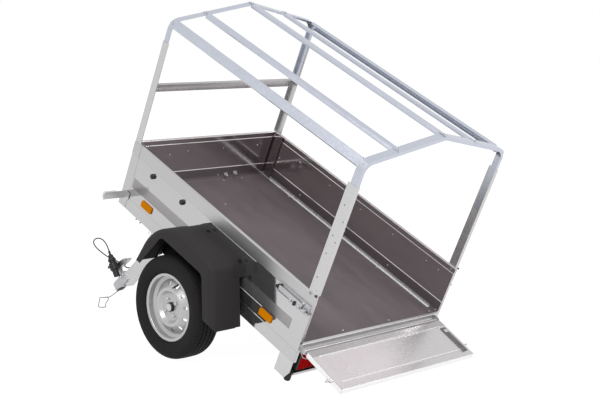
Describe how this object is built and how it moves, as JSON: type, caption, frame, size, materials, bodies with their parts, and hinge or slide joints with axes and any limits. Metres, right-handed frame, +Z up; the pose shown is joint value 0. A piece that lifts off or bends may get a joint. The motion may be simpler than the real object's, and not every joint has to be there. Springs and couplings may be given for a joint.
{
  "type": "utility trailer",
  "caption": "Small tipping utility trailer with galvanised walls, tarp frame, black fenders, open tailgate and a folding drawbar, parked tipped back on its feet.",
  "frame": {"origin": "on the ground, in the middle plane, midway between the foremost and rearmost points of the trailer as it parks", "axes": "+X forwards towards the coupling, +Y to the trailer's left, +Z up"},
  "size_m": [2.9105, 1.536, 1.8781],
  "materials": {
    "galvanised": "galvanised sheet, faintly mottled",
    "plywood": "brown film-faced plywood",
    "black_plastic": "matt moulded",
    "tyre": "matt rubber",
    "rubber": "matt rubber",
    "silver_paint": "satin silver",
    "red_lens": "glossy",
    "amber_lens": "glossy",
    "clear_lens": "glossy",
    "steel": "zinc plated",
    "cast_head": "zinc plated"
  },
  "bodies": {
    "bed": {"side_wall_left": "galvanised", "side_wall_right": "galvanised", "front_wall": "galvanised", "floor_panel": "plywood", "rear_sill": "galvanised", "cross_members": "galvanised", "axle_tube": "galvanised", "axle_saddles": "galvanised", "swing_arm_left": "galvanised", "swing_arm_right": "galvanised", "fender_left": "black_plastic", "fender_right": "black_plastic", "rear_corner_plates": "galvanised", "rear_beam": "galvanised", "tail_lamp_left": "red_lens", "tail_lamp_right": "red_lens", "rubber_feet": "rubber", "tailgate_pins": "steel", "corner_posts": "galvanised", "rear_bow": "galvanised", "front_bow": "galvanised", "eave_rail_left": "galvanised", "eave_rail_right": "galvanised", "mid_rail_left": "galvanised", "mid_rail_right": "galvanised", "ridge_rail": "galvanised", "front_cross_bar": "galvanised", "latch_plates": "steel", "latch_handles": "steel", "wall_caps": "black_plastic", "side_reflectors": "amber_lens", "marker_brackets": "galvanised", "marker_lamps": "clear_lens", "hinge_cheeks": "galvanised", "hinge_pin": "steel"},
    "wheel_left": {"tyre_left": "tyre", "wheel_rim_left": "silver_paint", "wheel_hub_left": "steel"},
    "wheel_right": {"tyre_right": "tyre", "wheel_rim_right": "silver_paint", "wheel_hub_right": "steel"},
    "tailgate": {"tailgate_panel": "galvanised", "tailgate_hinge": "galvanised", "tailgate_catches": "steel"},
    "drawbar": {"drawbar_tube": "galvanised", "coupling_head": "cast_head", "coupling_lever": "steel", "light_plug": "black_plastic", "light_cable": "rubber", "safety_rope": "steel"}
  },
  "joints": [
    {"name": "wheel_left_spin", "type": "hinge", "parent": "bed", "child": "wheel_left", "pos_m": [-0.11846, 0.6755, 0.278], "axis": [0, 1, 0], "continuous": true},
    {"name": "wheel_right_spin", "type": "hinge", "parent": "bed", "child": "wheel_right", "pos_m": [-0.11846, -0.6755, 0.278], "axis": [0, 1, 0], "continuous": true},
    {"name": "tailgate_fold", "type": "hinge", "parent": "bed", "child": "tailgate", "pos_m": [-0.91979, 0, 0.17468], "axis": [0, 1, 0], "range_deg": [0, 96]},
    {"name": "drawbar_fold", "type": "hinge", "parent": "bed", "child": "drawbar", "pos_m": [0.56621, 0, 0.6664], "axis": [0, 1, 0], "range_deg": [-64.34, 0]}
  ]
}
